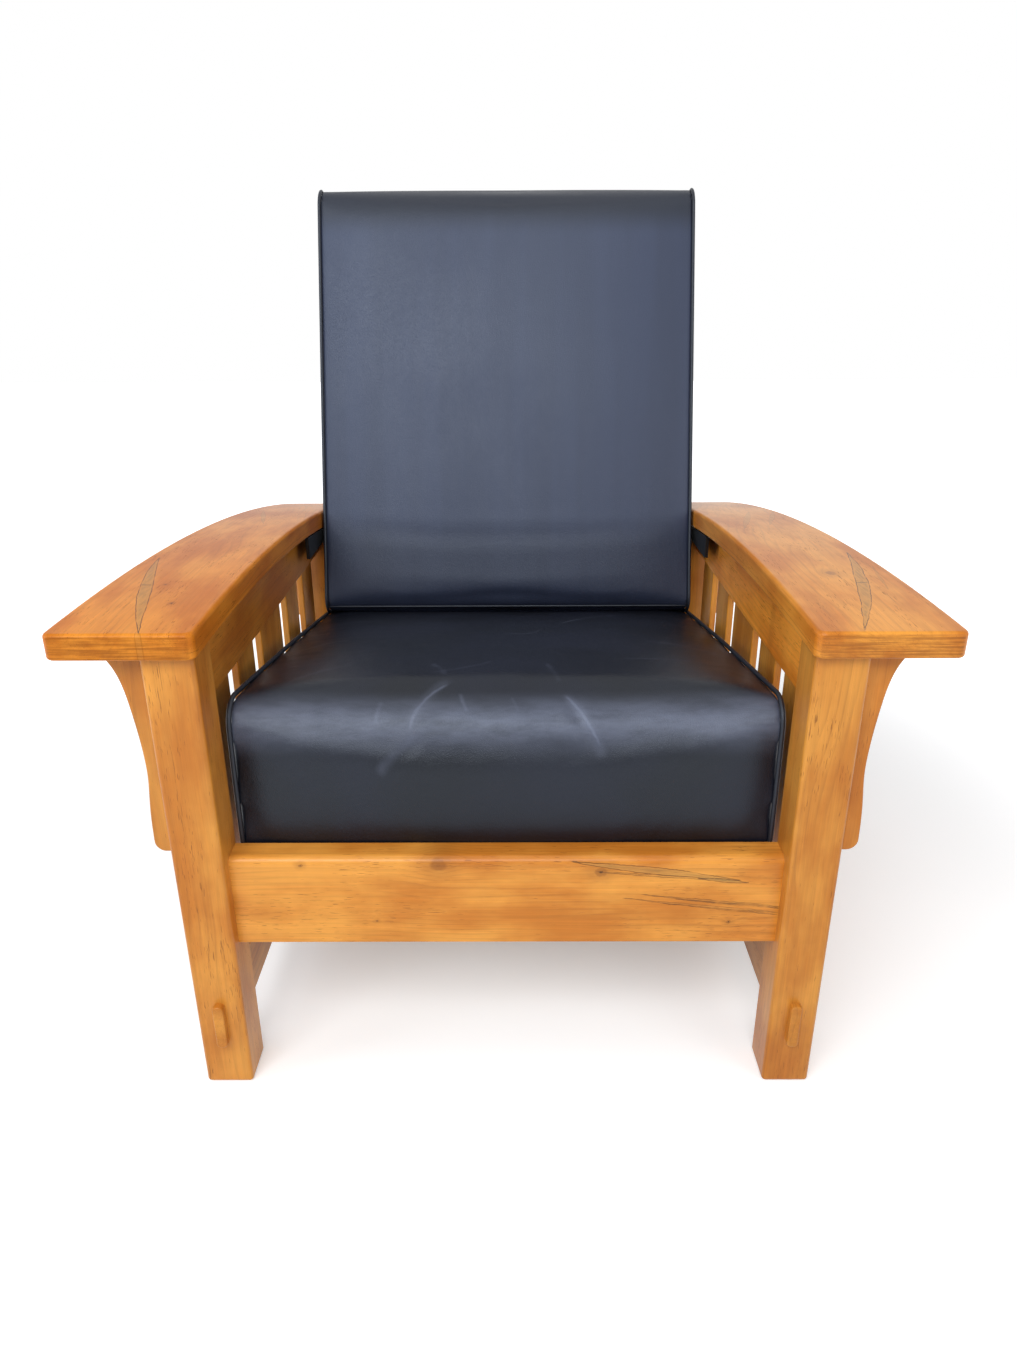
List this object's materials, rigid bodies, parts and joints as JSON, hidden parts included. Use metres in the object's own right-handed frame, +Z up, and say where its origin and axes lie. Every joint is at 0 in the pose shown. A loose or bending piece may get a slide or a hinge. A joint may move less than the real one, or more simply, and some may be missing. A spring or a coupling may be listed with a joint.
{
  "type": "reclining armchair",
  "caption": "Wooden reclining armchair with bowed arms, slatted sides, loose leather seat and back cushions, and a back that turns on pins and leans on a bar in notched racks.",
  "frame": {"origin": "middle of the floor under the chair, at the centre of its bounding box seen from above", "axes": "+Z up, the chair faces -Y, +X to the right seen from in front; the left and right halves mirror across X = 0"},
  "size_m": [0.9114, 0.9742, 1.0497],
  "materials": {
    "maple": "satin",
    "deck_wood": "matte",
    "leather": "satin",
    "black_steel": "satin",
    "steel": "satin",
    "brass": "satin"
  },
  "bodies": {
    "frame": {"arm_left": "maple", "arm_right": "maple", "front_corbel_left": "maple", "front_corbel_right": "maple", "front_leg_left": "maple", "front_leg_right": "maple", "front_rail": "maple", "lower_side_rail_left": "maple", "lower_side_rail_right": "maple", "pivot_pin_left": "steel", "pivot_pin_right": "steel", "pivot_spacer_left": "brass", "pivot_spacer_right": "brass", "rack_block_left": "maple", "rack_block_right": "maple", "rack_plate_left": "black_steel", "rack_plate_right": "black_steel", "rack_screws": "black_steel", "rear_corbel_left": "maple", "rear_corbel_right": "maple", "rear_leg_left": "maple", "rear_leg_right": "maple", "rear_rail": "maple", "seat_cushion": "leather", "seat_side_rail_left": "deck_wood", "seat_side_rail_right": "deck_wood", "seat_slat_1": "deck_wood", "seat_slat_2": "deck_wood", "seat_slat_3": "deck_wood", "seat_slat_4": "deck_wood", "seat_slat_5": "deck_wood", "seat_slat_6": "deck_wood", "seat_slat_7": "deck_wood", "seat_slat_8": "deck_wood", "seat_slat_screws": "steel", "side_apron_left": "maple", "side_apron_right": "maple", "side_slat_1_left": "maple", "side_slat_1_right": "maple", "side_slat_2_left": "maple", "side_slat_2_right": "maple", "side_slat_3_left": "maple", "side_slat_3_right": "maple", "side_slat_4_left": "maple", "side_slat_4_right": "maple", "side_slat_5_left": "maple", "side_slat_5_right": "maple"},
    "back": {"back_bottom_rail": "maple", "back_cushion": "leather", "back_slat_1": "maple", "back_slat_2": "maple", "back_slat_3": "maple", "back_slat_4": "maple", "back_stile_left": "maple", "back_stile_right": "maple", "back_top_rail": "maple"},
    "bar": {"support_bar": "steel"}
  },
  "joints": [
    {"name": "back_recline", "type": "hinge", "parent": "frame", "child": "back", "pos_m": [0, 0.26225, 0.325], "axis": [-1, 0, 0], "range_deg": [0, 20]},
    {"name": "bar_travel", "type": "slide", "parent": "frame", "child": "bar", "axis": [0, 1, 0], "range_m": [0, 0.0711]}
  ],
  "couplings": [
    {"joint": "bar_travel", "follows": "back_recline", "m_per_rad": 0.20339}
  ]
}
